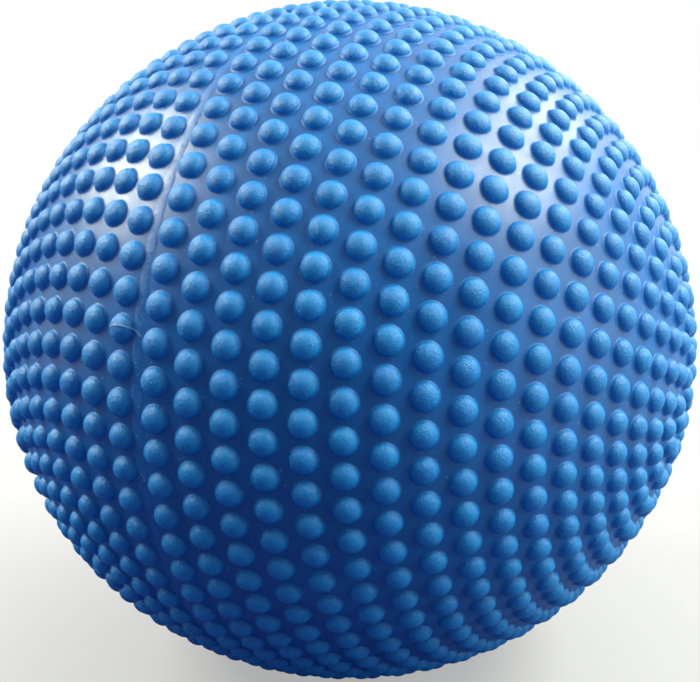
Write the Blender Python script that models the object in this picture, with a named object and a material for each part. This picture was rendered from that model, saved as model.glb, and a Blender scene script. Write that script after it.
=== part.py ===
"""A knobby play ball: a hollow ball of soft vinyl, moulded with rings of knobs, and its air valve.

The mould's axis lies along X. Its two halves meet at the parting line, in the plane x = 0, and the
rings of knobs run round the axis. The valve is at the pole on the -X side. The ball stands on a
small flat patch of its underside, and the centre of that patch is the origin.
"""

import math

import bmesh
import bpy
from mathutils import Matrix, Vector

# Ball, in metres
BALL_DIAMETER = 0.200
KNOB_HEIGHT = 0.0021
WALL = 0.0016

# Pattern of knobs, measured along the skin
KNOB_PITCH = 0.00773
RING_SPACING = 0.00798
SEAM_TO_RING = 0.00461

# How the rings are turned from one to the next, in knob pitches: start, per ring, per ring squared
NEAR_HALF_TURN = (0.124, 0.47, -0.0108)
FAR_HALF_TURN = (0.794, -0.24, 0.041)
START_MERIDIAN = math.radians(80.13)

# How the soft ball settles on its underside
SAG_DEPTH = 0.0050
PRESSED_DEPTH = 0.0012

# Seat of the valve in the skin: a flat, bald pad with a hole
PAD_RADIUS = 0.0145
PAD_WALL = 0.0020
HOLE_DIAMETER = 0.0090

# Valve sleeve
OUTER_FLANGE_DIAMETER = 0.0140
OUTER_FLANGE_THICKNESS = 0.0008
INNER_FLANGE_DIAMETER = 0.0160
INNER_FLANGE_THICKNESS = 0.0014
TAIL_LENGTH = 0.0080
TAIL_END_DIAMETER = 0.0072
BORE_DIAMETER = 0.0048
EDGE_CHAMFER = 0.0005

# Valve plug
PLUG_HEAD_DIAMETER = 0.0092
PLUG_HEAD_THICKNESS = 0.0012
PLUG_HEAD_EDGE = 0.0005
PLUG_SHANK_DIAMETER = 0.0034
PLUG_SHANK_LENGTH = 0.0095
PLUG_TIP_DIAMETER = 0.0020
SEALING_RING_WIDTH = 0.0012
SEALING_RING_STARTS = (0.0016, 0.0044)

# Gap that neighbouring pieces keep
CLEARANCE = 0.0003

# Facets
CAVITY_SEGMENTS = 24
CAVITY_STEPS = 12
VALVE_SEGMENTS = 24
SMOOTH_ANGLE = math.radians(80)
WELD_DISTANCE = 1e-6

# Sizes that follow
TIP_RADIUS = BALL_DIAMETER / 2
SKIN_RADIUS = TIP_RADIUS - KNOB_HEIGHT
INNER_RADIUS = SKIN_RADIUS - WALL
SAG_SHARE = 1 - SAG_DEPTH / TIP_RADIUS
CENTRE_HEIGHT = SKIN_RADIUS * SAG_SHARE - PRESSED_DEPTH
PAD_OUT = math.sqrt(SKIN_RADIUS ** 2 - PAD_RADIUS ** 2)
PAD_IN = PAD_OUT - PAD_WALL
FLANGE_OUT = PAD_OUT + CLEARANCE + OUTER_FLANGE_THICKNESS
BALD_RADIUS = PAD_RADIUS + KNOB_PITCH / 2
BALL_CENTRE = Vector((0, 0, CENTRE_HEIGHT))
VALVE_TURN = Matrix.Rotation(-math.pi / 2, 4, "Y")


def clear_scene():
    """Remove whatever the scene holds."""
    for old in list(bpy.data.objects):
        bpy.data.objects.remove(old, do_unlink=True)


def soft_vinyl(name, colour, roughness):
    """Return a plain material for a moulded vinyl piece."""
    material = bpy.data.materials.new(name)
    material.use_nodes = True
    shader = material.node_tree.nodes["Principled BSDF"]
    shader.inputs["Base Color"].default_value = (*colour, 1)
    shader.inputs["Roughness"].default_value = roughness
    shader.inputs["Metallic"].default_value = 0
    return material


def new_object(name, bm, material=None):
    """Make an object of a finished bmesh, shaded smooth between its sharp edges."""
    bmesh.ops.recalc_face_normals(bm, faces=bm.faces)
    mesh = bpy.data.meshes.new(name)
    bm.to_mesh(mesh)
    bm.free()
    mesh.shade_smooth()
    mesh.set_sharp_from_angle(angle=SMOOTH_ANGLE)
    if material:
        mesh.materials.append(material)
    made = bpy.data.objects.new(name, mesh)
    bpy.context.scene.collection.objects.link(made)
    return made


def turned(profile, segments):
    """Spin a closed profile of (radius, height) points into a solid about the Z axis."""
    bm = bmesh.new()
    points = [bm.verts.new((radius, 0, height)) for radius, height in profile]
    edges = [bm.edges.new((a, b)) for a, b in zip(points, points[1:])]
    bmesh.ops.spin(
        bm,
        geom=points + edges,
        cent=(0, 0, 0),
        axis=(0, 0, 1),
        angle=math.tau,
        steps=segments,
        use_merge=True,
    )
    bmesh.ops.remove_doubles(bm, verts=bm.verts, dist=WELD_DISTANCE)
    return bm


def settled(point, floor):
    """Return where a point of the round ball lies once the ball stands: sagged, and flat underneath."""
    height = point.z if point.z > 0 else point.z * SAG_SHARE
    return Vector((point.x, point.y, max(height + CENTRE_HEIGHT, floor)))


def ring_of_knobs(latitude, turn):
    """Return the directions of the knobs of one ring about the X axis."""
    count = int(math.tau * SKIN_RADIUS * math.cos(latitude) / KNOB_PITCH)
    directions = []
    for knob in range(count):
        angle = START_MERIDIAN + (turn + knob) * math.tau / count
        across = math.cos(latitude)
        directions.append(Vector((math.sin(latitude), -across * math.sin(angle), across * math.cos(angle))))
    return directions


def knob_directions():
    """Return the directions of all knobs, ring by ring, from the parting line to both poles."""
    first = SEAM_TO_RING / SKIN_RADIUS
    step = RING_SPACING / SKIN_RADIUS
    rings = 1 + int((math.pi / 2 - first) / step)
    directions = []
    for side, (start, per_ring, per_ring_squared) in ((1, NEAR_HALF_TURN), (-1, FAR_HALF_TURN)):
        for ring in range(rings):
            turn = start + per_ring * ring + per_ring_squared * ring ** 2
            directions += ring_of_knobs(side * (first + step * ring), turn)
    return directions


def knob_height(direction):
    """Return how far the skin is raised at a knob's place: not at all where it is bald round the valve."""
    from_axis = SKIN_RADIUS * math.hypot(direction.y, direction.z)
    is_bald = direction.x < 0 and from_axis < BALD_RADIUS
    return 0 if is_bald else KNOB_HEIGHT


def knobbed_surface():
    """Build the outside of the ball: a six-sided cone for each knob, meeting its neighbours at the skin."""
    bm = bmesh.new()
    knobs = [bm.verts.new(direction) for direction in knob_directions()]
    bmesh.ops.convex_hull(bm, input=knobs)
    bmesh.ops.triangulate(bm, faces=bm.faces)
    between_knobs = list(bm.edges)
    hollows = bmesh.ops.poke(bm, faces=bm.faces)["verts"]
    bmesh.ops.rotate_edges(bm, edges=between_knobs)
    for vert in knobs:
        direction = vert.co.normalized()
        vert.co = settled(direction * (SKIN_RADIUS + knob_height(direction)), 0)
    for vert in hollows:
        vert.co = settled(vert.co.normalized() * SKIN_RADIUS, 0)
    return bm


def cutter(name, bm):
    """Make an object that only cuts others."""
    made = new_object(name, bm)
    made.hide_render = True
    made.display_type = "WIRE"
    return made


def cavity():
    """Build the air space: a ball with a flat end for the valve, settled with the skin."""
    pad_angle = math.acos(PAD_IN / INNER_RADIUS)
    profile = [(0, PAD_IN)]
    for step in range(CAVITY_STEPS + 1):
        angle = pad_angle + (math.pi - pad_angle) * step / CAVITY_STEPS
        profile.append((INNER_RADIUS * math.sin(angle), INNER_RADIUS * math.cos(angle)))
    bm = turned(profile, CAVITY_SEGMENTS)
    bmesh.ops.transform(bm, matrix=VALVE_TURN, verts=bm.verts)
    for vert in bm.verts:
        vert.co = settled(vert.co, WALL)
    return cutter("cavity", bm)


def valve_opening(frame):
    """Build the cut for the valve: a hole through the skin, under the flat pad on the outside."""
    hole = HOLE_DIAMETER / 2
    cut_radius = (PAD_RADIUS + BALD_RADIUS) / 2
    profile = [
        (0, TIP_RADIUS),
        (cut_radius, TIP_RADIUS),
        (cut_radius, PAD_OUT),
        (hole, PAD_OUT),
        (hole, PAD_IN - PAD_WALL),
        (0, PAD_IN - PAD_WALL),
    ]
    made = cutter("valve_opening", turned(profile, VALVE_SEGMENTS))
    made.parent = frame
    return made


def ball_skin(frame, material):
    """Build the moulded skin with its knobs, hollow and open at the valve."""
    made = new_object("ball_skin", knobbed_surface(), material)
    for tool in (cavity(), valve_opening(frame)):
        cut = made.modifiers.new(tool.name, "BOOLEAN")
        cut.operation = "DIFFERENCE"
        cut.solver = "EXACT"
        cut.object = tool
    return made


def valve_sleeve(frame, material):
    """Build the grommet that grips the edge of the hole, with its bore and its tapered tail inside."""
    bore = BORE_DIAMETER / 2
    neck = HOLE_DIAMETER / 2 - CLEARANCE
    seat_out = PAD_OUT + CLEARANCE
    seat_in = PAD_IN - CLEARANCE
    tail_top = seat_in - INNER_FLANGE_THICKNESS
    tail_end = tail_top - TAIL_LENGTH
    profile = [
        (bore + EDGE_CHAMFER, FLANGE_OUT),
        (OUTER_FLANGE_DIAMETER / 2 - EDGE_CHAMFER, FLANGE_OUT),
        (OUTER_FLANGE_DIAMETER / 2, seat_out),
        (neck, seat_out),
        (neck, seat_in),
        (INNER_FLANGE_DIAMETER / 2, seat_in),
        (INNER_FLANGE_DIAMETER / 2, tail_top),
        (neck, tail_top),
        (TAIL_END_DIAMETER / 2, tail_end),
        (bore, tail_end),
        (bore, FLANGE_OUT - EDGE_CHAMFER),
        (bore + EDGE_CHAMFER, FLANGE_OUT),
    ]
    made = new_object("valve_sleeve", turned(profile, VALVE_SEGMENTS), material)
    made.parent = frame
    return made


def valve_plug(frame, material):
    """Build the push-in plug: a low head, and a shank with sealing rings that fills the bore."""
    head = PLUG_HEAD_DIAMETER / 2
    shank = PLUG_SHANK_DIAMETER / 2
    seal = BORE_DIAMETER / 2 - CLEARANCE
    under_head = FLANGE_OUT + CLEARANCE
    top = under_head + PLUG_HEAD_THICKNESS
    tip = under_head - PLUG_SHANK_LENGTH
    profile = [
        (0, top),
        (head - 2 * PLUG_HEAD_EDGE, top),
        (head, top - PLUG_HEAD_EDGE),
        (head, under_head),
        (shank, under_head),
    ]
    for start in SEALING_RING_STARTS:
        profile.append((shank, under_head - start))
        profile.append((seal, under_head - start - SEALING_RING_WIDTH / 2))
        profile.append((shank, under_head - start - SEALING_RING_WIDTH))
    profile += [
        (shank, tip + PLUG_SHANK_DIAMETER / 2),
        (PLUG_TIP_DIAMETER / 2, tip),
        (0, tip),
    ]
    made = new_object("valve_plug", turned(profile, VALVE_SEGMENTS), material)
    made.parent = frame
    return made


def main():
    """Build the ball and its valve."""
    clear_scene()
    frame = bpy.data.objects.new("valve_axis", None)
    frame.location = BALL_CENTRE
    frame.rotation_euler = VALVE_TURN.to_euler()
    bpy.context.scene.collection.objects.link(frame)
    ball_skin(frame, soft_vinyl("blue_vinyl", (0.02, 0.13, 0.50), 0.45))
    valve_sleeve(frame, soft_vinyl("blue_vinyl_sleeve", (0.02, 0.10, 0.40), 0.40))
    valve_plug(frame, soft_vinyl("white_plug", (0.80, 0.80, 0.78), 0.40))


main()
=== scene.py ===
"""Looks of the knobby play ball: vinyl skin, knobs, parting line and air valve, around its fixed frame."""

import math
import random

import bpy
import numpy as np
from bpy.props import FloatProperty, FloatVectorProperty, IntProperty, PointerProperty
from mathutils import Matrix, Vector


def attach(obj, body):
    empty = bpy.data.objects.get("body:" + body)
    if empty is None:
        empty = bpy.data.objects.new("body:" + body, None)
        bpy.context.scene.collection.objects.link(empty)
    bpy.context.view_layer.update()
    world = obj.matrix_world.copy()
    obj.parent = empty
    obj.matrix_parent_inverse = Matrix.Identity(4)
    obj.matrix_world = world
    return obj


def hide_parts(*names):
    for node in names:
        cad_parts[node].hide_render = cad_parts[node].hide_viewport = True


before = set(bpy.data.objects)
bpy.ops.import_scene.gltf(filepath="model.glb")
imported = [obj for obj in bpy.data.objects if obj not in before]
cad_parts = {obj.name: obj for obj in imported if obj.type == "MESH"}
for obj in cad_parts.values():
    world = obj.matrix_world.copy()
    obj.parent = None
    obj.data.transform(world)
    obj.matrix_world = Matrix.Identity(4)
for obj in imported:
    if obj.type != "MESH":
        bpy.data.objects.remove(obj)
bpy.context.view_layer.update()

bl_info = {
    "name": "Knobby Play Ball",
    "version": (1, 0, 0),
    "blender": (4, 5, 0),
    "location": "View3D > Sidebar > Play Ball",
    "description": "Models the vinyl skin, knobs, parting line and air valve of a knobby play ball",
    "category": "Object",
}

PHOTO_WIDTH = 700
SENSOR_WIDTH = 36.0
CAMERA_CLIP = 0.01

TOLERANCE = 1e-6
SMOOTH_ANGLE = math.radians(40)

# How the rings of knobs are turned from one to the next, in knob pitches: start, per ring, per ring squared
NEAR_HALF_TURN = (0.124, 0.47, -0.0108)
FAR_HALF_TURN = (0.794, -0.24, 0.041)
START_MERIDIAN = math.radians(80.13)

SKIN_SEGMENTS = 128
SKIN_RINGS = 64
PAD_FACING = 0.99
PAD_TOLERANCE = 0.0001

KNOB_SIDES = 16
KNOB_FILLET_RINGS = 2
KNOB_CAP_RINGS = 4

# Rib of flash: how many times its height the half under the skin goes down, and how it is torn
FLASH_SEGMENTS = 1200
FLASH_SIDES = 16
FLASH_SUNK = 4
TEAR_SCALE = 0.0013
TEAR_DEPTH = 3
TEAR_STRENGTH = 2.0
TEAR_LEVEL = 0.55

# Beads of flash: their place round the ball, how far they stray, their spread in widths and their scales
BEAD_COUNT = 60
BEAD_RADIUS = 0.00020
BEAD_PLACE = math.radians(70)
BEAD_STRAY = math.radians(45)
BEAD_SPREAD = 0.3
BEAD_SCALES = ((0.4, 1.1), (0.4, 1.3), (0.4, 1.1))

# Loose hair of flash on one knob beside the parting line: the knob's direction and the arc from above it
HAIR_KNOB = Vector((-0.047, -0.981, 0.187))
HAIR_CENTRE = (0.0009, -0.0056)
HAIR_RADIUS = 0.00615
HAIR_ANGLES = (math.radians(44), math.radians(127))
HAIR_STEPS = 160
HAIR_HALF_WIDTH = 0.00016
HAIR_REACH = 0.004

VALVE_SIDES = 64
EDGE_ROUND = 0.00012
EDGE_SEGMENTS = 2
EDGE_ANGLE = math.radians(25)

# Outline of the plug's head, from its dish to its underside: shares of its radius and of its thickness
HEAD_OUTLINE = ((0.55, 0.75), (0.68, 1.0), (0.86, 1.0), (1.0, 0.6), (1.0, 0.2), (0.94, 0.0))
PLUG_TIP = 0.6

# Sealing rings of the plug: how far under the head each starts, and half its width
SEAL_STARTS = (0.0016, 0.0044)
SEAL_HALF_WIDTH = 0.0006

# Floor: where its painted pool of window light starts and ends to the right, where the shadow starts to
# fade and how white it is there
FLOOR_SIDES = 96
FLOOR_RADIUS = 4
FLOOR_DROP = 0.0001
FLOOR_ROUGHNESS = 0.9
FLOOR_PAINTED_LIGHT = (0.02, 0.30)
SHADOW_START = 0.10
SHADOW_WHITE = 0.4

# Lamps: name, turn and rise from the camera in degrees, distance, size, power, shown in reflections
LAMPS = (
    ("left_window", -98, 40, 0.95, (0.54, 0.42), 12.6, True),
    ("back_window", 120, 44, 0.95, (0.33, 0.36), 3.7, True),
    ("right_window", 76, 49, 0.95, (0.52, 0.44), 11.5, True),
    ("right_wall", 72, 17, 1.00, (0.80, 0.65), 2.5, True),
    ("left_wall", -96, 10, 1.00, (0.70, 0.70), 1.5, True),
    ("right_fill", 82, 8, 1.20, (0.80, 0.80), 4.5, False),
)

# Room: its light below, at heights between and overhead, and the bright wall on one side
ROOM_STRENGTH = 1.45
ROOM_BELOW = 0.02
ROOM_BETWEEN = ((0.50, 0.12), (0.63, 0.18), (0.75, 0.24), (0.91, 0.42))
ROOM_OVERHEAD = 0.85
WALL_DIRECTION = (0.0, 0.93, 0.37)
WALL_COLOUR = (1.15, 1.15, 1.08, 1)
WALL_SHARE = 0.9
WALL_EDGE = 0.2


class BallSizes(bpy.types.PropertyGroup):
    """Sizes of the ball and of its pattern of knobs"""

    diameter: FloatProperty(
        name="Ball diameter", description="Over the knob tips, before the ball sags",
        default=0.200, unit="LENGTH")
    wall: FloatProperty(
        name="Wall", description="Thickness of the vinyl skin", default=0.0016, unit="LENGTH")
    knob_height: FloatProperty(
        name="Knob height", description="From the skin to the tip of a knob",
        default=0.0021, unit="LENGTH")
    knob_diameter: FloatProperty(
        name="Knob diameter", description="Across the ellipsoid of a knob's cap",
        default=0.0061, unit="LENGTH")
    knob_edge: FloatProperty(
        name="Knob edge", description="Slope where a knob's cap meets its fillet",
        default=math.radians(76), subtype="ANGLE")
    knob_pitch: FloatProperty(
        name="Knob pitch", description="Least spacing of the knobs along a ring",
        default=0.00773, unit="LENGTH")
    ring_spacing: FloatProperty(
        name="Ring spacing", description="From one ring of knobs to the next",
        default=0.00798, unit="LENGTH")
    seam_to_ring: FloatProperty(
        name="Seam to ring", description="From the parting line to the first ring",
        default=0.00461, unit="LENGTH")
    sag_depth: FloatProperty(
        name="Sag", description="How far the soft underside gives way", default=0.0050, unit="LENGTH")
    pressed_depth: FloatProperty(
        name="Pressed depth", description="How far the rest patch is pressed flat",
        default=0.0012, unit="LENGTH")
    flash_width: FloatProperty(
        name="Flash width", description="From the middle to the side of the parting line's rib",
        default=0.0016, unit="LENGTH")
    flash_height: FloatProperty(
        name="Flash height", description="Height of the raised parting line",
        default=0.00005, unit="LENGTH")
    seed: IntProperty(
        name="Seed", description="Start of the small differences between knobs", default=7)


class ValveSizes(bpy.types.PropertyGroup):
    """Sizes of the valve in the skin's one hole"""

    pad_radius: FloatProperty(
        name="Pad radius", description="Flat, bald pad round the valve", default=0.0145, unit="LENGTH")
    pad_wall: FloatProperty(
        name="Pad wall", description="Thickness of the pad", default=0.0020, unit="LENGTH")
    hole_diameter: FloatProperty(
        name="Hole", description="Hole through the pad", default=0.0090, unit="LENGTH")
    clearance: FloatProperty(
        name="Clearance", description="Gap between neighbouring pieces", default=0.0003, unit="LENGTH")
    outer_flange: FloatProperty(
        name="Outer flange", description="Diameter of the sleeve's outer flange",
        default=0.0140, unit="LENGTH")
    outer_thickness: FloatProperty(
        name="Outer thickness", description="Thickness of the outer flange",
        default=0.0008, unit="LENGTH")
    inner_flange: FloatProperty(
        name="Inner flange", description="Diameter of the sleeve's inner flange",
        default=0.0160, unit="LENGTH")
    inner_thickness: FloatProperty(
        name="Inner thickness", description="Thickness of the inner flange",
        default=0.0014, unit="LENGTH")
    tail_length: FloatProperty(
        name="Tail length", description="Sleeve's tail inside the ball", default=0.0080, unit="LENGTH")
    tail_end: FloatProperty(
        name="Tail end", description="Diameter at the end of the tail", default=0.0072, unit="LENGTH")
    bore: FloatProperty(
        name="Bore", description="Bore of the sleeve", default=0.0048, unit="LENGTH")
    chamfer: FloatProperty(
        name="Chamfer", description="Bevel at the mouth and flange", default=0.0005, unit="LENGTH")
    head: FloatProperty(
        name="Plug head", description="Diameter of the plug's head", default=0.0092, unit="LENGTH")
    head_thickness: FloatProperty(
        name="Head thickness", description="Thickness of the plug's head", default=0.0012, unit="LENGTH")
    shank: FloatProperty(
        name="Shank", description="Diameter of the plug's shank", default=0.0034, unit="LENGTH")
    shank_length: FloatProperty(
        name="Shank length", description="Length of the plug's shank", default=0.0095, unit="LENGTH")


class VinylFinish(bpy.types.PropertyGroup):
    """Colours of the vinyl and of the plug"""

    knob: FloatVectorProperty(
        name="Knob", description="Frosted vinyl on the knobs", subtype="COLOR", size=4,
        default=(0.0004, 0.220, 0.610, 1))
    knob_foot: FloatVectorProperty(
        name="Knob foot", description="Vinyl at the foot of a knob", subtype="COLOR", size=4,
        default=(0.0002, 0.105, 0.480, 1))
    frost: FloatVectorProperty(
        name="Frost", description="Fine pale grain of the frosted vinyl", subtype="COLOR", size=4,
        default=(0.003, 0.280, 0.680, 1))
    skin: FloatVectorProperty(
        name="Skin", description="Smooth vinyl between the knobs", subtype="COLOR", size=4,
        default=(0.003, 0.128, 0.440, 1))
    flash: FloatVectorProperty(
        name="Flash", description="Pale edge of the parting line", subtype="COLOR", size=4,
        default=(0.12, 0.28, 0.56, 1))
    pale: FloatVectorProperty(
        name="Pale flash", description="Stretched, pale vinyl of beads and hairs", subtype="COLOR", size=4,
        default=(0.24, 0.42, 0.66, 1))
    plug: FloatVectorProperty(
        name="Plug", description="White plastic of the plug", subtype="COLOR", size=4,
        default=(0.60, 0.60, 0.57, 1))


class StageSettings(bpy.types.PropertyGroup):
    """Camera and light"""

    azimuth: FloatProperty(
        name="Azimuth", description="Camera's turn about the ball",
        default=math.radians(26.88), subtype="ANGLE")
    elevation: FloatProperty(
        name="Elevation", description="Camera's height as an angle",
        default=math.radians(9.95), subtype="ANGLE")
    distance: FloatProperty(
        name="Distance", description="From the ball's centre to the camera",
        default=0.2574, unit="LENGTH")
    focal_pixels: FloatProperty(
        name="Focal length", description="In pixels of the picture", default=824.6)
    aim_rise: FloatProperty(
        name="Aim", description="Aim above the ball's centre", default=0.0015, unit="LENGTH")
    lamp_colour: FloatVectorProperty(
        name="Lamps", description="Light of the windows", subtype="COLOR", size=3,
        default=(1.0, 1.0, 0.80))
    sky_colour: FloatVectorProperty(
        name="Sky", description="Light of the rest of the room", subtype="COLOR", size=3,
        default=(1.0, 1.0, 0.86))
    haze_colour: FloatVectorProperty(
        name="Haze", description="Light of the room at the height of the floor", subtype="COLOR", size=3,
        default=(0.55, 0.70, 1.0))
    floor_seen: FloatVectorProperty(
        name="Seen floor", description="Floor as the camera sees it near the ball", subtype="COLOR", size=4,
        default=(0.40, 0.40, 0.42, 1))
    shadow_reach: FloatProperty(
        name="Shadow reach", description="From the ball's foot to where its shadow has faded",
        default=0.35, unit="LENGTH")
    floor_colour: FloatVectorProperty(
        name="Floor", description="Floor as the ball mirrors it", subtype="COLOR", size=4,
        default=(0.020, 0.030, 0.130, 1))
    # Painted light: the floor by the right window is lighter, a pool of window light painted into its
    # colour
    floor_painted_light: FloatVectorProperty(
        name="Floor by the window", description="Floor at the right, as the ball mirrors it",
        subtype="COLOR", size=4, default=(0.20, 0.22, 0.28, 1))


def ball_sizes():
    """Return the ball's sizes."""
    return bpy.context.scene.play_ball_sizes


def skin_radius():
    """Return the radius of the skin between the knobs, before it sags."""
    sizes = ball_sizes()
    return sizes.diameter / 2 - sizes.knob_height


def sag_share():
    """Return how much of its height the lower half keeps."""
    sizes = ball_sizes()
    return 1 - sizes.sag_depth / (sizes.diameter / 2)


def centre_height():
    """Return the height of the ball's centre above the surface that it rests on."""
    return skin_radius() * sag_share() - ball_sizes().pressed_depth


def ball_centre():
    """Return the place of the ball's centre."""
    return Vector((0, 0, centre_height()))


def pad_out():
    """Return the distance of the flat pad from the ball's centre."""
    return math.sqrt(skin_radius() ** 2 - bpy.context.scene.play_ball_valve.pad_radius ** 2)


def deselect():
    """Leave edit mode and deselect every object."""
    if bpy.context.mode != "OBJECT":
        bpy.ops.object.mode_set(mode="OBJECT")
    bpy.ops.object.select_all(action="DESELECT")


def edit_all():
    """Enter edit mode on the active object with everything selected."""
    bpy.ops.object.mode_set(mode="EDIT")
    bpy.ops.mesh.select_mode(type="VERT")
    bpy.ops.mesh.select_all(action="SELECT")


def named(name):
    """Name the active object and its mesh, and return it."""
    made = bpy.context.active_object
    made.name = name
    made.data.name = name
    return made


def apply_modifiers(made):
    """Apply every modifier of an object."""
    for modifier in list(made.modifiers):
        bpy.ops.object.modifier_apply(modifier=modifier.name)


def dress(made, material):
    """Give a piece its one material."""
    made.data.materials.clear()
    made.data.materials.append(material)


def finish_piece(made, body, slot, *nodes):
    """Let a piece ride its body and stand for its nodes."""
    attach(made, body)
    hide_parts(*nodes)


def placed_copy(made, place):
    """Return a copy of an object with a mesh of its own, moved to its place."""
    twin = made.copy()
    twin.data = made.data.copy()
    twin.data.transform(place)
    bpy.context.collection.objects.link(twin)
    return twin


def lathe(name, profile, sides):
    """Turn a profile of (radius, height) points about Z, loop by loop, and return the object."""
    deselect()
    radius, height = profile[0]
    bpy.ops.mesh.primitive_circle_add(vertices=sides, radius=radius, location=(0, 0, height))
    bpy.ops.object.transform_apply(location=True)
    edit_all()
    for next_radius, next_height in profile[1:]:
        step = (0, 0, next_height - height)
        bpy.ops.mesh.extrude_region_move(TRANSFORM_OT_translate={"value": step})
        if next_radius == 0:
            bpy.ops.mesh.merge(type="CENTER")
        else:
            share = next_radius / radius
            bpy.ops.transform.resize(value=(share, share, 1), center_override=(0, 0, 0))
        radius, height = next_radius, next_height
    bpy.ops.mesh.select_all(action="SELECT")
    bpy.ops.mesh.remove_doubles(threshold=TOLERANCE)
    bpy.ops.mesh.normals_make_consistent(inside=False)
    bpy.ops.object.mode_set(mode="OBJECT")
    return named(name)


def points_of(mesh):
    """Return a mesh's points as an array."""
    points = np.empty(len(mesh.vertices) * 3)
    mesh.vertices.foreach_get("co", points)
    return points.reshape(-1, 3)


def settle(made):
    """Move a piece of the round ball to where it lies on the standing one: sagged, and flat beneath."""
    points = points_of(made.data)
    inside = np.linalg.norm(points, axis=1) < skin_radius() - ball_sizes().wall / 2
    floor = np.where(inside, ball_sizes().wall, 0)
    low = points[:, 2] < 0
    points[low, 2] *= sag_share()
    points[:, 2] = np.maximum(points[:, 2] + centre_height(), floor)
    made.data.vertices.foreach_set("co", points.ravel())
    made.data.update()


def soften_edges(made):
    """Round the sharp edges of a turned piece and shade it smooth."""
    rounded = made.modifiers.new("rounded", "BEVEL")
    rounded.width = EDGE_ROUND
    rounded.segments = EDGE_SEGMENTS
    rounded.limit_method = "ANGLE"
    rounded.angle_limit = EDGE_ANGLE
    apply_modifiers(made)
    bpy.ops.object.shade_smooth_by_angle(angle=SMOOTH_ANGLE)


def onto_valve_axis(made):
    """Turn a lathed piece from Z onto the valve's axis through the ball's centre."""
    made.rotation_euler = (0, -math.pi / 2, 0)
    made.location = ball_centre()
    bpy.ops.object.transform_apply(location=True, rotation=True, scale=True)


def knob_directions():
    """Return the directions of all knobs of the near half and of the far half, ring by ring."""
    sizes = ball_sizes()
    radius = skin_radius()
    first = sizes.seam_to_ring / radius
    step = sizes.ring_spacing / radius
    rings = 1 + int((math.pi / 2 - first) / step)
    halves = []
    for side, (start, per_ring, per_ring_squared) in ((1, NEAR_HALF_TURN), (-1, FAR_HALF_TURN)):
        directions = []
        for ring in range(rings):
            latitude = first + step * ring
            across = math.cos(latitude)
            count = int(math.tau * radius * across / sizes.knob_pitch)
            turn = start + per_ring * ring + per_ring_squared * ring ** 2
            for knob in range(count):
                angle = START_MERIDIAN + (turn + knob) * math.tau / count
                directions.append(Vector((
                    side * math.sin(latitude), -across * math.sin(angle), across * math.cos(angle))))
        halves.append(directions)
    return halves


def has_knob(direction):
    """Tell whether a place of the pattern has a knob: not round the valve, nor on the flat patch."""
    sizes = ball_sizes()
    radius = skin_radius()
    bald = bpy.context.scene.play_ball_valve.pad_radius + sizes.knob_pitch / 2
    from_axis = radius * math.hypot(direction.y, direction.z)
    if direction.x < 0 and from_axis < bald:
        return False
    return radius * direction.z * sag_share() + centre_height() > 0


def node(tree, kind, **values):
    """Add a shader node and set its inputs or attributes by name."""
    made = tree.nodes.new(kind)
    for name, value in values.items():
        label = name.replace("_", " ").title()
        if label in made.inputs:
            made.inputs[label].default_value = value
        else:
            setattr(made, name, value)
    return made


def new_material(name):
    """Return a new material, its node tree, its shader and its object coordinates."""
    material = bpy.data.materials.new(name)
    material.use_nodes = True
    tree = material.node_tree
    shader = tree.nodes["Principled BSDF"]
    coordinates = tree.nodes.new("ShaderNodeTexCoord").outputs["Object"]
    return material, tree, shader, coordinates


def noise(tree, coordinates, scale, detail=2.0, roughness=0.5):
    """Add a noise texture and return its factor."""
    made = node(tree, "ShaderNodeTexNoise", scale=scale, detail=detail, roughness=roughness)
    tree.links.new(coordinates, made.inputs["Vector"])
    return made.outputs["Fac"]


def ranged(tree, value, low, high, from_low=0.0, from_high=1.0):
    """Map a value onto a range and return the result."""
    made = node(
        tree, "ShaderNodeMapRange", from_min=from_low, from_max=from_high, to_min=low, to_max=high)
    tree.links.new(value, made.inputs["Value"])
    return made.outputs["Result"]


def put(tree, socket, value):
    """Set an input to a value, or link an output to it."""
    if isinstance(value, bpy.types.NodeSocket):
        tree.links.new(value, socket)
    else:
        socket.default_value = value


def mixed(tree, factor, colour_a, colour_b):
    """Mix two colours, given as values or outputs, and return the result."""
    made = tree.nodes.new("ShaderNodeMix")
    made.data_type = "RGBA"
    for socket, value in ((made.inputs[0], factor), (made.inputs[6], colour_a), (made.inputs[7], colour_b)):
        put(tree, socket, value)
    return made.outputs[2]


def layered(tree, share, below, above):
    """Mix two shaders by a share and return the mixing node."""
    made = tree.nodes.new("ShaderNodeMixShader")
    tree.links.new(share, made.inputs[0])
    tree.links.new(below.outputs[0], made.inputs[1])
    tree.links.new(above.outputs[0], made.inputs[2])
    return made


def show_camera(tree, output, shader, shown):
    """Let the camera see one shader, and all other rays meet another."""
    path = tree.nodes.new("ShaderNodeLightPath")
    seen = layered(tree, path.outputs["Is Camera Ray"], shader, shown)
    tree.links.new(seen.outputs[0], tree.nodes[output].inputs["Surface"])


def along(tree, coordinates, direction):
    """Return how far coordinates lie along a direction."""
    made = node(tree, "ShaderNodeVectorMath", operation="DOT_PRODUCT")
    tree.links.new(coordinates, made.inputs[0])
    made.inputs[1].default_value = direction
    return made.outputs["Value"]


def darker(colour, share):
    """Return a share of an opaque colour."""
    return tuple(share * part for part in colour[:3]) + (1,)


def attribute(tree, name):
    """Read an attribute of the mesh."""
    return node(tree, "ShaderNodeAttribute", attribute_name=name).outputs["Fac"]


def blended(tree, factor, low, high):
    """Blend two numbers, given as values or outputs, and return the result."""
    made = tree.nodes.new("ShaderNodeMix")
    for socket, value in ((made.inputs[0], factor), (made.inputs[2], low), (made.inputs[3], high)):
        put(tree, socket, value)
    return made.outputs[0]


def coat(tree, shader, colour, roughness):
    """Link a colour and a roughness to a shader."""
    tree.links.new(colour, shader.inputs["Base Color"])
    tree.links.new(roughness, shader.inputs["Roughness"])


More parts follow.
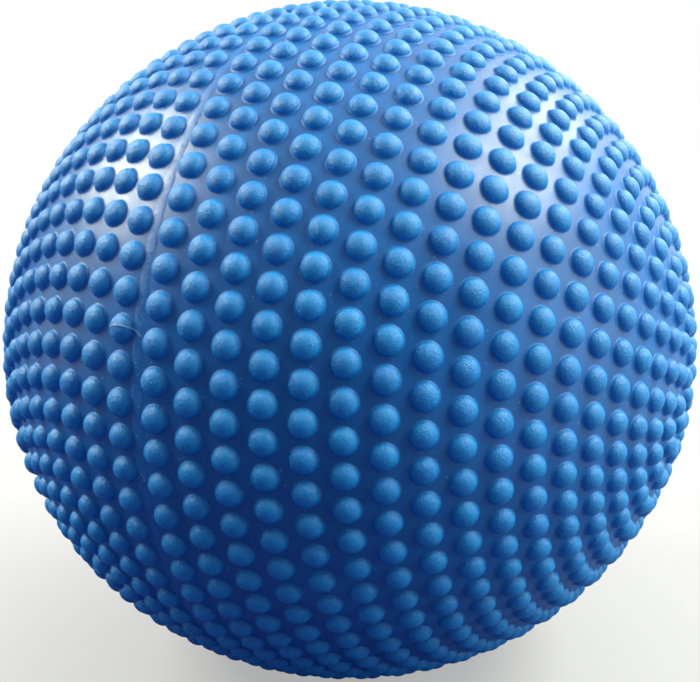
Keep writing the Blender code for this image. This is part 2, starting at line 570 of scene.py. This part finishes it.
def bump(tree, shader, height, strength, distance):
    """Raise the surface by a height texture."""
    made = node(tree, "ShaderNodeBump", distance=distance)
    put(tree, made.inputs["Strength"], strength)
    tree.links.new(height, made.inputs["Height"])
    tree.links.new(made.outputs["Normal"], shader.inputs["Normal"])


def frosted_knob_vinyl():
    """Matte vinyl from blasted mould pits, with a fine grain and small differences from knob to knob."""
    finish = bpy.context.scene.play_ball_finish
    material, tree, shader, coordinates = new_material("frosted_knob_vinyl")
    grain = noise(tree, coordinates, scale=2300.0, detail=3.0, roughness=0.70)
    cloud = noise(tree, coordinates, scale=160.0, detail=3.0)
    above = ranged(tree, attribute(tree, "rise"), 0.0, 1.0, from_low=0.05, from_high=0.18)
    tint = ranged(tree, attribute(tree, "tint"), 0.0, 0.35)
    tinted = mixed(tree, tint, finish.knob, finish.knob_foot)
    cloudy = ranged(tree, cloud, 0.0, 0.30, from_low=0.35, from_high=0.70)
    clouded = mixed(tree, cloudy, tinted, finish.knob_foot)
    frosty = ranged(tree, grain, 0.0, 0.60, from_low=0.42, from_high=0.62)
    frosted = mixed(tree, frosty, clouded, finish.frost)
    matte = ranged(tree, grain, 0.30, 0.46, from_low=0.35, from_high=0.65)
    coat(tree, shader, mixed(tree, above, finish.skin, frosted), blended(tree, above, 0.50, matte))
    bump(tree, shader, grain, strength=blended(tree, above, 0.05, 0.75), distance=0.00030)
    return material


def satin_skin_vinyl():
    """Satin vinyl with the slight waviness of a mould's face."""
    finish = bpy.context.scene.play_ball_finish
    material, tree, shader, coordinates = new_material("satin_skin_vinyl")
    wave = noise(tree, coordinates, scale=260.0, detail=1.0)
    cloud = noise(tree, coordinates, scale=60.0, detail=2.0)
    speck = noise(tree, coordinates, scale=1500.0, detail=0.0)
    cloudy = ranged(tree, cloud, 0.0, 1.0, from_low=0.35, from_high=0.65)
    clouded = mixed(tree, cloudy, darker(finish.skin, 0.8), finish.skin)
    dust = ranged(tree, speck, 0.0, 0.5, from_low=0.79, from_high=0.84)
    satin = ranged(tree, wave, 0.32, 0.42, from_low=0.3, from_high=0.7)
    coat(tree, shader, mixed(tree, dust, clouded, finish.pale), satin)
    bump(tree, shader, wave, strength=0.2, distance=0.00010)
    return material


def flash_vinyl():
    """Pale, torn edge of vinyl at the parting line."""
    finish = bpy.context.scene.play_ball_finish
    material, tree, shader, coordinates = new_material("parting_flash_vinyl")
    tear = noise(tree, coordinates, scale=1500.0, detail=3.0, roughness=0.6)
    patch = noise(tree, coordinates, scale=90.0, detail=2.0)
    torn = ranged(tree, tear, 0.0, 0.7, from_low=0.55, from_high=0.72)
    patchy = ranged(tree, patch, 0.0, 1.0, from_low=0.4, from_high=0.6)
    shown = node(tree, "ShaderNodeMath", operation="MULTIPLY")
    tree.links.new(torn, shown.inputs[0])
    tree.links.new(patchy, shown.inputs[1])
    colour = mixed(tree, shown.outputs[0], finish.skin, finish.flash)
    coat(tree, shader, colour, ranged(tree, tear, 0.28, 0.50))
    bump(tree, shader, tear, strength=0.5, distance=0.00015)
    return material


def pale_flash_vinyl():
    """Thin vinyl, pale where it is stretched."""
    known = bpy.data.materials.get("pale_flash_vinyl")
    if known:
        return known
    finish = bpy.context.scene.play_ball_finish
    material, tree, shader, coordinates = new_material("pale_flash_vinyl")
    streak = noise(tree, coordinates, scale=700.0, detail=2.0)
    streaky = ranged(tree, streak, 0.0, 1.0, from_low=0.4, from_high=0.6)
    coat(tree, shader, mixed(tree, streaky, finish.flash, finish.pale), ranged(tree, streak, 0.25, 0.40))
    return material


def sleeve_vinyl():
    """Smooth, soft vinyl of the valve sleeve."""
    finish = bpy.context.scene.play_ball_finish
    material, tree, shader, coordinates = new_material("valve_sleeve_vinyl")
    grain = noise(tree, coordinates, scale=700.0, detail=3.0)
    colour = mixed(tree, ranged(tree, grain, 0.0, 0.5), finish.skin, finish.knob_foot)
    coat(tree, shader, colour, ranged(tree, grain, 0.30, 0.45))
    bump(tree, shader, grain, strength=0.2, distance=0.00006)
    return material


def plug_plastic():
    """White moulded plastic, a little handled."""
    finish = bpy.context.scene.play_ball_finish
    material, tree, shader, coordinates = new_material("valve_plug_plastic")
    grain = noise(tree, coordinates, scale=900.0, detail=4.0)
    handled = ranged(tree, grain, 0.0, 1.0, from_low=0.4, from_high=0.75)
    colour = mixed(tree, handled, finish.plug, darker(finish.plug, 0.86))
    coat(tree, shader, colour, ranged(tree, grain, 0.32, 0.48))
    bump(tree, shader, grain, strength=0.15, distance=0.00005)
    return material


class PLAY_BALL_OT_skin(bpy.types.Operator):
    """Model the hollow skin with the flat pad and the hole for the valve"""

    bl_idname = "play_ball.skin"
    bl_label = "Skin"

    def execute(self, context):
        sizes = context.scene.play_ball_sizes
        valve = context.scene.play_ball_valve
        deselect()
        bpy.ops.mesh.primitive_uv_sphere_add(
            segments=SKIN_SEGMENTS, ring_count=SKIN_RINGS, radius=skin_radius(),
            rotation=(0, math.pi / 2, 0))
        bpy.ops.object.transform_apply(rotation=True)
        skin = named("vinyl_skin")
        edit_all()
        bpy.ops.mesh.bisect(
            plane_co=(-pad_out(), 0, 0), plane_no=(-1, 0, 0), use_fill=True, clear_outer=True)
        bpy.ops.mesh.select_all(action="DESELECT")
        bpy.ops.object.mode_set(mode="OBJECT")
        for face in skin.data.polygons:
            on_pad = face.center.x < PAD_TOLERANCE - pad_out()
            face.select = face.normal.x < -PAD_FACING and on_pad
        bpy.ops.object.mode_set(mode="EDIT")
        bpy.ops.mesh.select_mode(type="FACE")
        bpy.ops.mesh.inset(thickness=valve.pad_radius - valve.hole_diameter / 2)
        bpy.ops.mesh.delete(type="FACE")
        bpy.ops.object.mode_set(mode="OBJECT")
        shell = skin.modifiers.new("wall", "SOLIDIFY")
        shell.thickness = sizes.wall
        shell.offset = -1
        apply_modifiers(skin)
        settle(skin)
        bpy.ops.object.shade_smooth_by_angle(angle=SMOOTH_ANGLE)
        dress(skin, satin_skin_vinyl())
        finish_piece(skin, "ball", "skin", "ball_skin")
        return {"FINISHED"}


class PLAY_BALL_OT_knobs(bpy.types.Operator):
    """Model one knob, set a copy at each place of the pattern and join them, half by half of the mould"""

    bl_idname = "play_ball.knobs"
    bl_label = "Knobs"

    def one_knob(self, sizes):
        """Model a knob on the Z axis: the cap of an ellipsoid, with a fillet down to the round skin."""
        radius = sizes.knob_diameter / 2
        height = sizes.knob_height
        edge = sizes.knob_edge
        last = math.atan2(radius * math.sin(edge), height * math.cos(edge))
        fillet = height * math.cos(last) / (1 - math.cos(edge))
        skin = skin_radius()
        brim = radius * math.sin(last)
        foot = brim + fillet * math.sin(edge)
        sink = skin - math.sqrt(skin ** 2 - foot ** 2)
        profile = []
        for ring in range(KNOB_FILLET_RINGS):
            slope = edge * ring / KNOB_FILLET_RINGS
            out = foot - fillet * math.sin(slope)
            profile.append((out, fillet * (1 - math.cos(slope)) - sink * (out - brim) / (foot - brim)))
        for ring in range(KNOB_CAP_RINGS, 0, -1):
            turn = last * ring / KNOB_CAP_RINGS
            profile.append((radius * math.sin(turn), height * math.cos(turn)))
        profile.append((0, height))
        knob = lathe("knob", profile, KNOB_SIDES)
        bpy.ops.object.shade_smooth()
        lean = math.asin(foot / skin)
        normals = []
        for point in knob.data.vertices:
            across = Vector((point.co.x, point.co.y, 0))
            if point.co.z < height * math.cos(last) - TOLERANCE:
                slope = math.asin(min((foot - across.length) / fillet, 1)) + lean
            else:
                turn = math.asin(min(across.length / radius, 1))
                slope = math.atan2(height * math.sin(turn), radius * math.cos(turn))
            normals.append(across.normalized() * math.sin(slope) + Vector((0, 0, math.cos(slope))))
        knob.data.normals_split_custom_set_from_vertices(normals)
        rise = knob.data.attributes.new("rise", "FLOAT", "POINT")
        for point, value in zip(knob.data.vertices, rise.data):
            value.value = max(point.co.z / height, 0)
        return knob

    def execute(self, context):
        sizes = context.scene.play_ball_sizes
        chance = random.Random(sizes.seed)
        knob = self.one_knob(sizes)
        material = frosted_knob_vinyl()
        for name, directions in zip(("near_half_knobs", "far_half_knobs"), knob_directions()):
            deselect()
            copies = []
            for direction in filter(has_knob, directions):
                turn = direction.to_track_quat("Z", "Y").to_matrix().to_4x4()
                twin = placed_copy(knob, Matrix.Translation(direction * skin_radius()) @ turn)
                tint = twin.data.attributes.new("tint", "FLOAT", "POINT")
                tint.data.foreach_set("value", [chance.random()] * len(twin.data.vertices))
                twin.select_set(True)
                copies.append(twin)
            context.view_layer.objects.active = copies[0]
            bpy.ops.object.join()
            knobs = named(name)
            settle(knobs)
            dress(knobs, material)
            finish_piece(knobs, "ball", "skin", "ball_skin")
        bpy.data.objects.remove(knob, do_unlink=True)
        return {"FINISHED"}


class PLAY_BALL_OT_parting_line(bpy.types.Operator):
    """Model the low, torn flash where the two halves of the mould met, its beads and one loose hair"""

    bl_idname = "play_ball.parting_line"
    bl_label = "Parting line"

    def rib(self, sizes):
        """Model the broken rib of flash round the ball."""
        profile = []
        for corner in range(FLASH_SIDES + 1):
            turn = math.tau * (corner % FLASH_SIDES) / FLASH_SIDES
            rise = sizes.flash_height * (FLASH_SUNK * math.cos(turn) - FLASH_SUNK + 1)
            profile.append((skin_radius() + rise, sizes.flash_width * math.sin(turn)))
        rib = lathe("parting_line", profile, FLASH_SEGMENTS)
        rib.rotation_euler = (0, math.pi / 2, 0)
        bpy.ops.object.transform_apply(rotation=True)
        tears = bpy.data.textures.new("flash_tears", "CLOUDS")
        tears.noise_scale = TEAR_SCALE
        tears.noise_depth = TEAR_DEPTH
        torn = rib.modifiers.new("torn", "DISPLACE")
        torn.texture = tears
        torn.texture_coords = "LOCAL"
        torn.strength = TEAR_STRENGTH * sizes.flash_height
        torn.mid_level = TEAR_LEVEL
        apply_modifiers(rib)
        bpy.data.textures.remove(tears)
        bpy.ops.object.shade_smooth()
        dress(rib, flash_vinyl())
        return rib

    def beads(self, sizes, chance):
        """Model one bead of flash and strew copies along the parting line."""
        deselect()
        bpy.ops.mesh.primitive_ico_sphere_add(subdivisions=2, radius=BEAD_RADIUS)
        bead = named("bead")
        bpy.ops.object.shade_smooth()
        dress(bead, pale_flash_vinyl())
        copies = []
        for _ in range(BEAD_COUNT):
            around = chance.gauss(BEAD_PLACE, BEAD_STRAY)
            place = Vector((chance.gauss(0, BEAD_SPREAD) * sizes.flash_width, 0, 0))
            place += skin_radius() * Vector((0, -math.sin(around), math.cos(around)))
            scale = [chance.uniform(least, most) for least, most in BEAD_SCALES]
            copies.append(placed_copy(bead, Matrix.Translation(place) @ Matrix.Diagonal((*scale, 1))))
        bpy.data.objects.remove(bead, do_unlink=True)
        return copies

    def hair(self, knob):
        """Model the loose hair: an arc laid on the skin and over the knob, then made round."""
        deselect()
        bpy.ops.mesh.primitive_circle_add(
            vertices=HAIR_STEPS, radius=HAIR_RADIUS, location=(*HAIR_CENTRE, 0))
        bpy.ops.object.transform_apply(location=True)
        hair = named("flash_hair")
        for turn, side in zip(HAIR_ANGLES, (1, -1)):
            edit_all()
            bpy.ops.mesh.bisect(
                plane_co=(*HAIR_CENTRE, 0), plane_no=(-side * math.sin(turn), side * math.cos(turn), 0),
                clear_inner=True)
        bpy.ops.object.mode_set(mode="OBJECT")
        hair.rotation_euler = knob.to_track_quat("Z", "Y").to_euler()
        hair.location = knob * skin_radius() + ball_centre()
        for target in ("vinyl_skin", "far_half_knobs"):
            laid = hair.modifiers.new(target, "SHRINKWRAP")
            laid.wrap_method = "PROJECT"
            laid.target = bpy.data.objects[target]
            laid.use_project_z = True
            laid.use_positive_direction = True
            laid.use_negative_direction = target == "vinyl_skin"
            laid.project_limit = HAIR_REACH
        apply_modifiers(hair)
        bpy.ops.object.convert(target="CURVE")
        hair = bpy.context.active_object
        hair.data.bevel_depth = HAIR_HALF_WIDTH
        hair.data.bevel_resolution = 1
        bpy.ops.object.convert(target="MESH")
        hair = named("flash_hair")
        bpy.ops.object.transform_apply(location=True, rotation=True, scale=True)
        bpy.ops.object.shade_smooth()
        dress(hair, pale_flash_vinyl())
        finish_piece(hair, "ball", "skin", "ball_skin")

    def execute(self, context):
        sizes = context.scene.play_ball_sizes
        chance = random.Random(sizes.seed)
        rib = self.rib(sizes)
        beads = self.beads(sizes, chance)
        deselect()
        for piece in [rib] + beads:
            piece.select_set(True)
        context.view_layer.objects.active = rib
        bpy.ops.object.join()
        settle(rib)
        finish_piece(rib, "ball", "skin", "ball_skin")
        far_half = knob_directions()[1]
        self.hair(max(far_half, key=HAIR_KNOB.dot))
        return {"FINISHED"}


class PLAY_BALL_OT_valve_sleeve(bpy.types.Operator):
    """Model the grommet in the hole: flanges inside and outside, bore and tail"""

    bl_idname = "play_ball.valve_sleeve"
    bl_label = "Valve sleeve"

    def execute(self, context):
        valve = context.scene.play_ball_valve
        bore = valve.bore / 2
        neck = valve.hole_diameter / 2 - valve.clearance
        seat_out = pad_out() + valve.clearance
        seat_in = pad_out() - valve.pad_wall - valve.clearance
        flange_out = seat_out + valve.outer_thickness
        tail_top = seat_in - valve.inner_thickness
        tail_end = tail_top - valve.tail_length
        profile = [
            (bore + valve.chamfer, flange_out),
            (valve.outer_flange / 2 - valve.chamfer, flange_out),
            (valve.outer_flange / 2, seat_out),
            (neck, seat_out),
            (neck, seat_in),
            (valve.inner_flange / 2, seat_in),
            (valve.inner_flange / 2, tail_top),
            (neck, tail_top),
            (valve.tail_end / 2, tail_end),
            (bore, tail_end),
            (bore, flange_out - valve.chamfer),
            (bore + valve.chamfer, flange_out),
        ]
        sleeve = lathe("sleeve_grommet", profile, VALVE_SIDES)
        soften_edges(sleeve)
        onto_valve_axis(sleeve)
        dress(sleeve, sleeve_vinyl())
        finish_piece(sleeve, "ball", "sleeve", "valve_sleeve")
        return {"FINISHED"}


class PLAY_BALL_OT_valve_plug(bpy.types.Operator):
    """Model the push-in plug with its low head and sealing rings"""

    bl_idname = "play_ball.valve_plug"
    bl_label = "Valve plug"

    def execute(self, context):
        valve = context.scene.play_ball_valve
        head = valve.head / 2
        shank = valve.shank / 2
        seal = valve.bore / 2 - valve.clearance
        under_head = pad_out() + 2 * valve.clearance + valve.outer_thickness
        tip = under_head - valve.shank_length
        profile = [(out * head, under_head + up * valve.head_thickness) for out, up in HEAD_OUTLINE]
        profile.append((shank, under_head))
        for start in SEAL_STARTS:
            for radius, widths in ((shank, 0), (seal, 1), (shank, 2)):
                profile.append((radius, under_head - start - widths * SEAL_HALF_WIDTH))
        profile += [(shank, tip + shank), (PLUG_TIP * shank, tip), (0, tip)]
        plug = lathe("push_plug", profile, VALVE_SIDES)
        edit_all()
        bpy.ops.mesh.select_all(action="DESELECT")
        bpy.ops.mesh.select_mode(type="EDGE")
        bpy.ops.mesh.select_non_manifold()
        bpy.ops.mesh.edge_face_add()
        bpy.ops.mesh.select_all(action="SELECT")
        bpy.ops.mesh.normals_make_consistent(inside=False)
        bpy.ops.object.mode_set(mode="OBJECT")
        soften_edges(plug)
        onto_valve_axis(plug)
        dress(plug, plug_plastic())
        finish_piece(plug, "plug", "plug", "valve_plug")
        return {"FINISHED"}


class PLAY_BALL_OT_stage(bpy.types.Operator):
    """Set the floor, the soft light and the camera"""

    bl_idname = "play_ball.stage"
    bl_label = "Stage"

    def floor(self, settings):
        """Lay a floor, white to the camera but for the ball's shadow, and darker to all other rays, with a
        painted pool of window light on its right side.
        """
        deselect()
        bpy.ops.mesh.primitive_circle_add(
            vertices=FLOOR_SIDES, radius=FLOOR_RADIUS, fill_type="NGON", location=(0, 0, -FLOOR_DROP))
        floor = named("pale_floor")
        material, tree, shader, coordinates = new_material("pale_floor")
        shader.inputs["Roughness"].default_value = FLOOR_ROUGHNESS
        # Painted light: the floor turns lighter to the right, a pool of window light painted on it that the
        # ball mirrors
        rightward = along(tree, coordinates, (math.cos(settings.azimuth), math.sin(settings.azimuth), 0))
        painted_light = ranged(tree, rightward, 0.0, 1.0, *FLOOR_PAINTED_LIGHT)
        colour = mixed(tree, painted_light, settings.floor_colour, settings.floor_painted_light)
        tree.links.new(colour, shader.inputs["Base Color"])
        shaded = node(tree, "ShaderNodeBsdfDiffuse", color=settings.floor_seen)
        white = node(tree, "ShaderNodeEmission", strength=1.0)
        distance = node(tree, "ShaderNodeVectorMath", operation="LENGTH")
        tree.links.new(coordinates, distance.inputs[0])
        beyond = ranged(
            tree, distance.outputs["Value"], SHADOW_WHITE, 1.0, SHADOW_START, settings.shadow_reach)
        show_camera(tree, "Material Output", shader, layered(tree, beyond, shaded, white))
        dress(floor, material)

    def towards(self, azimuth, elevation, distance):
        """Return the place at a distance from the ball's centre, at an azimuth and elevation."""
        flat = math.cos(elevation)
        direction = Vector((math.sin(azimuth) * flat, -math.cos(azimuth) * flat, math.sin(elevation)))
        return ball_centre() + distance * direction

    def hang(self, scene, name, data, place, aim):
        """Put a lamp or camera at its place, facing an aim, and return it."""
        made = bpy.data.objects.new(name, data)
        made.location = place
        made.rotation_euler = (aim - place).to_track_quat("-Z", "Y").to_euler()
        scene.collection.objects.link(made)
        return made

    def lamps(self, scene, settings):
        """Hang the soft windows of light, which glossy surfaces mirror or not."""
        for name, turn, rise, distance, size, power, mirrored in LAMPS:
            data = bpy.data.lights.new(name, "AREA")
            data.shape = "RECTANGLE"
            data.size, data.size_y = size
            data.energy = power
            data.color = settings.lamp_colour
            place = self.towards(settings.azimuth + math.radians(turn), math.radians(rise), distance)
            self.hang(scene, name, data, place, ball_centre()).visible_glossy = mirrored

    def room(self, scene, settings):
        """Light the room softly from above, and show plain white behind the ball."""
        scene.world = bpy.data.worlds.new("soft_room")
        scene.world.use_nodes = True
        tree = scene.world.node_tree
        room = tree.nodes["Background"]
        coordinates = tree.nodes.new("ShaderNodeTexCoord").outputs["Generated"]
        height = ranged(tree, along(tree, coordinates, (0, 0, 1)), 0.0, 1.0, from_low=-1.0)
        ramp = tree.nodes.new("ShaderNodeValToRGB")
        tree.links.new(height, ramp.inputs[0])
        sky = Vector(settings.sky_colour)
        haze = Vector(settings.haze_colour)
        ramp.color_ramp.elements[0].color = (*ROOM_BELOW * haze, 1)
        ramp.color_ramp.elements[1].color = (*ROOM_OVERHEAD * sky, 1)
        for place, level in ROOM_BETWEEN:
            ramp.color_ramp.elements.new(place).color = (*level * haze.lerp(sky, 2 * place - 1), 1)
        wall = ranged(tree, along(tree, coordinates, WALL_DIRECTION), 0.0, WALL_SHARE, from_low=WALL_EDGE)
        tree.links.new(mixed(tree, wall, ramp.outputs[0], WALL_COLOUR), room.inputs["Color"])
        room.inputs["Strength"].default_value = ROOM_STRENGTH
        white = node(tree, "ShaderNodeBackground", color=(1, 1, 1, 1), strength=1.0)
        show_camera(tree, "World Output", room, white)

    def camera(self, scene, settings):
        """Put the camera where the photograph was taken."""
        data = bpy.data.cameras.new("camera")
        data.sensor_width = SENSOR_WIDTH
        data.lens = settings.focal_pixels / PHOTO_WIDTH * SENSOR_WIDTH
        data.clip_start = CAMERA_CLIP
        place = self.towards(settings.azimuth, settings.elevation, settings.distance)
        aim = ball_centre() + Vector((0, 0, settings.aim_rise))
        scene.camera = self.hang(scene, "camera", data, place, aim)

    def execute(self, context):
        scene = context.scene
        settings = scene.play_ball_stage
        self.floor(settings)
        self.lamps(scene, settings)
        self.room(scene, settings)
        self.camera(scene, settings)
        scene.view_settings.view_transform = "Standard"
        return {"FINISHED"}


OPERATORS = (
    PLAY_BALL_OT_skin,
    PLAY_BALL_OT_knobs,
    PLAY_BALL_OT_parting_line,
    PLAY_BALL_OT_valve_sleeve,
    PLAY_BALL_OT_valve_plug,
    PLAY_BALL_OT_stage,
)


class PLAY_BALL_PT_panel(bpy.types.Panel):
    """Lists the pieces of the ball"""

    bl_label = "Knobby play ball"
    bl_idname = "PLAY_BALL_PT_panel"
    bl_space_type = "VIEW_3D"
    bl_region_type = "UI"
    bl_category = "Play Ball"

    def draw(self, context):
        for operator in OPERATORS:
            self.layout.operator(operator.bl_idname)


SETTINGS = {
    "play_ball_sizes": BallSizes,
    "play_ball_valve": ValveSizes,
    "play_ball_finish": VinylFinish,
    "play_ball_stage": StageSettings,
}


def register():
    """Register the settings, operators and panel."""
    for name, group in SETTINGS.items():
        bpy.utils.register_class(group)
        setattr(bpy.types.Scene, name, PointerProperty(type=group))
    for operator in OPERATORS:
        bpy.utils.register_class(operator)
    bpy.utils.register_class(PLAY_BALL_PT_panel)


def unregister():
    """Take out what register put in."""
    bpy.utils.unregister_class(PLAY_BALL_PT_panel)
    for operator in reversed(OPERATORS):
        bpy.utils.unregister_class(operator)
    for name, group in reversed(SETTINGS.items()):
        delattr(bpy.types.Scene, name)
        bpy.utils.unregister_class(group)


def main():
    """Model the ball piece by piece and set the stage."""
    register()
    bpy.ops.play_ball.skin()
    bpy.ops.play_ball.knobs()
    bpy.ops.play_ball.parting_line()
    bpy.ops.play_ball.valve_sleeve()
    bpy.ops.play_ball.valve_plug()
    bpy.ops.play_ball.stage()


if __name__ == "__main__":
    main()
